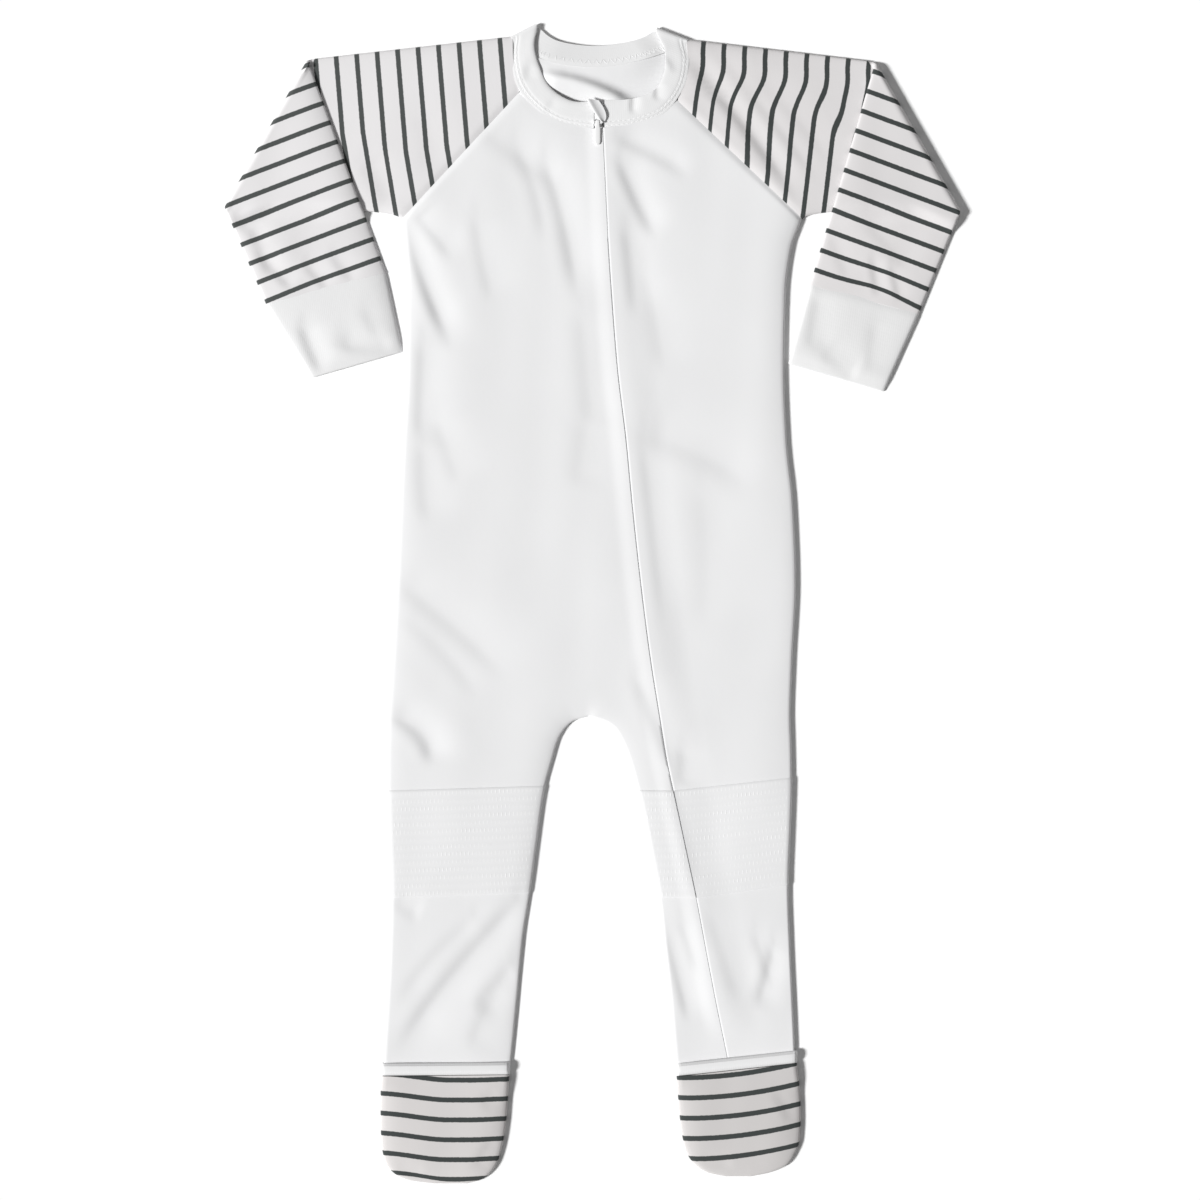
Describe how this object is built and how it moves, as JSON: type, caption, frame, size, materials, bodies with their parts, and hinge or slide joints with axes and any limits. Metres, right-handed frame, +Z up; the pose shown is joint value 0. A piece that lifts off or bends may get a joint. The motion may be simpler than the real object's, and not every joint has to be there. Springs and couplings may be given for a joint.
{
  "type": "footed baby sleepsuit",
  "caption": "Footed baby sleepsuit laid flat: white knit body with raglan striped sleeves folded at the elbow, striped foot covers and a covered zip to one foot.",
  "frame": {"origin": "on the surface that the garment lies on, under the middle of its box", "axes": "+Y towards the neck, +Z up from the surface through the front, +X towards the leg that the zip runs to"},
  "size_m": [0.3926, 0.62, 0.0085],
  "materials": {
    "white_knit": "soft white cotton jersey, matt",
    "white_rib": "white fine rib, matt",
    "striped_knit": "pinkish off-white jersey with thin dark grey stripes",
    "foot_knit": "greyish off-white jersey with thin dark grey stripes",
    "zip_tape": "white woven tape with a nylon coil",
    "zip_enamel": "white enamel"
  },
  "bodies": {
    "garment": {"back": "white_knit", "front_left": "white_knit", "front_right": "white_knit", "knee_left": "white_knit", "knee_right_inner": "white_knit", "knee_right_outer": "white_knit", "sleeve_left": "striped_knit", "sleeve_right": "striped_knit", "cuff_left": "white_rib", "cuff_right": "white_rib", "neckband": "white_rib", "foot_front_left": "foot_knit", "foot_back_left": "foot_knit", "foot_binding_left": "white_rib", "foot_front_right": "foot_knit", "foot_back_right": "foot_knit", "foot_binding_right": "white_rib", "zip_tape": "zip_tape", "zip_guard": "white_knit", "zip_slider": "zip_enamel"},
    "zip_pull": {"zip_pull": "zip_enamel"}
  },
  "joints": [
    {"name": "pull_tip", "type": "hinge", "parent": "garment", "child": "zip_pull", "pos_m": [0.00265, 0.2568, 0.00655], "axis": [-1, 0, 0], "range_deg": [0, 90]}
  ]
}
